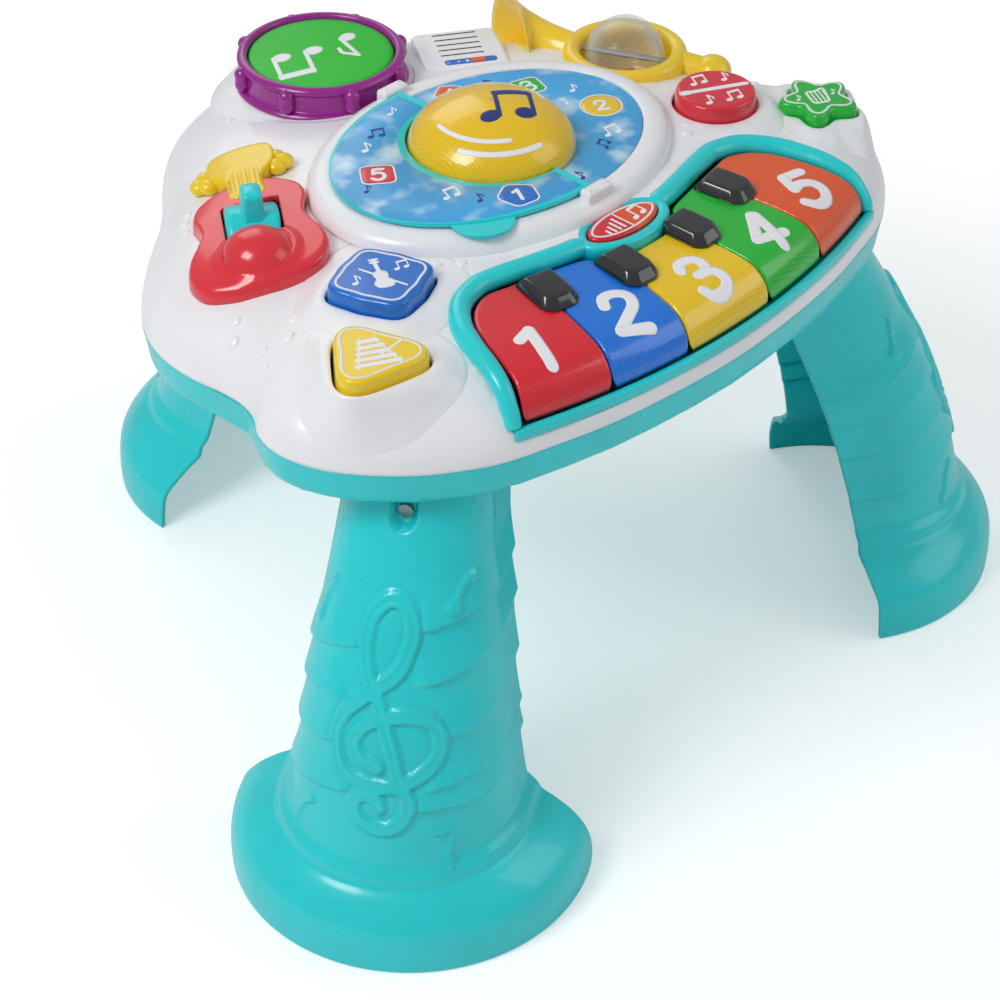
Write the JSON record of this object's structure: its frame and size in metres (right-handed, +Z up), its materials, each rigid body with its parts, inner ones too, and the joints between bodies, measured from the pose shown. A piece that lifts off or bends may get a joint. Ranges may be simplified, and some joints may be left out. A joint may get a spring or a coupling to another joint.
{
  "type": "musical activity table",
  "caption": "Toy play table with a small piano, drum, strum lever, rattle ball, press buttons and a flip page on splayed half-round legs.",
  "frame": {"origin": "on the floor, at the middle of the plan box", "axes": "+Z up, -Y towards the child at the piano, +X to the right of that child"},
  "size_m": [0.5496, 0.4982, 0.3348],
  "materials": {
    "teal_plastic": "glossy, moulded",
    "white_plastic": "satin, moulded",
    "purple_plastic": "glossy, moulded",
    "green_plastic": "glossy, moulded",
    "red_plastic": "glossy, moulded",
    "blue_plastic": "glossy, moulded",
    "yellow_plastic": "glossy, moulded",
    "amber_plastic": "glossy, slightly translucent",
    "orange_plastic": "glossy, moulded",
    "black_plastic": "glossy",
    "sky_plastic": "satin, printed",
    "clear_plastic": "clear, glossy",
    "grey_rubber": "matt",
    "board": "satin laminate",
    "steel": "plated",
    "cell_jacket": "plain jacket"
  },
  "bodies": {
    "table": {"leg_front_left": "teal_plastic", "leg_front_right": "teal_plastic", "leg_back": "teal_plastic", "bottom_shell": "teal_plastic", "battery_door": "teal_plastic", "piano_frame": "teal_plastic", "top_shell": "white_plastic", "light_board": "white_plastic", "drum_rim": "purple_plastic", "guitar_body": "red_plastic", "guitar_head": "yellow_plastic", "trumpet_body": "yellow_plastic", "light_dome": "amber_plastic", "black_key_1": "black_plastic", "black_key_2": "black_plastic", "black_key_3": "black_plastic", "black_key_4": "black_plastic", "blue_switch": "black_plastic", "yellow_switch": "black_plastic", "red_switch": "black_plastic", "star_switch": "black_plastic", "drum_switch": "black_plastic", "speaker": "black_plastic", "disc_plate": "sky_plastic", "key_contact_strip": "grey_rubber", "circuit_board": "board", "leg_screw_front_left": "steel", "leg_screw_front_right": "steel", "leg_screw_back": "steel", "housing_screw_1": "steel", "housing_screw_2": "steel", "housing_screw_3": "steel", "housing_screw_4": "steel", "battery_door_screw": "steel", "key_axle": "steel", "strum_axle": "steel", "battery_cell_1": "cell_jacket", "battery_cell_2": "cell_jacket", "battery_cell_3": "cell_jacket"},
    "key_1": {"key_1": "red_plastic"},
    "key_2": {"key_2": "blue_plastic"},
    "key_3": {"key_3": "amber_plastic"},
    "key_4": {"key_4": "green_plastic"},
    "key_5": {"key_5": "orange_plastic"},
    "blue_button": {"blue_button": "blue_plastic"},
    "yellow_button": {"yellow_button": "yellow_plastic"},
    "red_button": {"red_button": "red_plastic"},
    "star_button": {"star_button": "green_plastic"},
    "drum_skin": {"drum_skin": "green_plastic"},
    "mode_button": {"mode_button": "orange_plastic"},
    "flip_page": {"flip_page": "teal_plastic"},
    "strum_lever": {"strum_lever": "teal_plastic"},
    "rattle_ball": {"ball_back": "clear_plastic", "ball_front": "clear_plastic", "ball_axle": "white_plastic", "rattle_bead_1": "red_plastic", "rattle_bead_2": "blue_plastic", "rattle_bead_3": "green_plastic"},
    "power_switch": {"power_switch": "teal_plastic"}
  },
  "joints": [
    {"name": "key_1_press", "type": "hinge", "parent": "table", "child": "key_1", "pos_m": [0, -0.13163, 0.279], "axis": [1, 0, 0], "range_deg": [0, 3], "stiffness_Nm_per_rad": 0.8, "springref_deg": -1.72},
    {"name": "key_2_press", "type": "hinge", "parent": "table", "child": "key_2", "pos_m": [0, -0.13163, 0.279], "axis": [1, 0, 0], "range_deg": [0, 3], "stiffness_Nm_per_rad": 0.8, "springref_deg": -1.72},
    {"name": "key_3_press", "type": "hinge", "parent": "table", "child": "key_3", "pos_m": [0, -0.13163, 0.279], "axis": [1, 0, 0], "range_deg": [0, 3], "stiffness_Nm_per_rad": 0.8, "springref_deg": -1.72},
    {"name": "key_4_press", "type": "hinge", "parent": "table", "child": "key_4", "pos_m": [0, -0.13163, 0.279], "axis": [1, 0, 0], "range_deg": [0, 3], "stiffness_Nm_per_rad": 0.8, "springref_deg": -1.72},
    {"name": "key_5_press", "type": "hinge", "parent": "table", "child": "key_5", "pos_m": [0, -0.13163, 0.279], "axis": [1, 0, 0], "range_deg": [0, 3], "stiffness_Nm_per_rad": 0.8, "springref_deg": -1.72},
    {"name": "blue_button_press", "type": "slide", "parent": "table", "child": "blue_button", "axis": [0, 0, -1], "range_m": [0, 0.003], "stiffness_N_per_m": 400, "springref_m": -0.003},
    {"name": "yellow_button_press", "type": "slide", "parent": "table", "child": "yellow_button", "axis": [0, 0, -1], "range_m": [0, 0.003], "stiffness_N_per_m": 400, "springref_m": -0.003},
    {"name": "red_button_press", "type": "slide", "parent": "table", "child": "red_button", "axis": [0, 0, -1], "range_m": [0, 0.003], "stiffness_N_per_m": 400, "springref_m": -0.003},
    {"name": "star_button_press", "type": "slide", "parent": "table", "child": "star_button", "axis": [0, 0, -1], "range_m": [0, 0.003], "stiffness_N_per_m": 400, "springref_m": -0.003},
    {"name": "drum_skin_press", "type": "slide", "parent": "table", "child": "drum_skin", "axis": [0, 0, -1], "range_m": [0, 0.0025], "stiffness_N_per_m": 400, "springref_m": -0.003},
    {"name": "mode_button_rock", "type": "hinge", "parent": "table", "child": "mode_button", "pos_m": [0, -0.13312, 0.295], "axis": [0, 1, 0], "range_deg": [-4, 4], "stiffness_Nm_per_rad": 0.4},
    {"name": "flip_page_turn", "type": "hinge", "parent": "table", "child": "flip_page", "pos_m": [0, -0.04013, 0.3104], "axis": [0, 1, 0], "range_deg": [0, 180]},
    {"name": "strum_lever_swing", "type": "hinge", "parent": "table", "child": "strum_lever", "pos_m": [-0.13148, 0.00297, 0.28755], "axis": [0.809, -0.5878, 0], "range_deg": [-20, 20], "stiffness_Nm_per_rad": 0.2},
    {"name": "rattle_ball_spin", "type": "hinge", "parent": "table", "child": "rattle_ball", "pos_m": [0.13799, -0.01213, 0.29651], "axis": [0.4229, -0.9062, 0], "continuous": true},
    {"name": "power_switch_slide", "type": "slide", "parent": "table", "child": "power_switch", "axis": [0.8387, -0.5446, 0], "range_m": [-0.005, 0.005]}
  ]
}
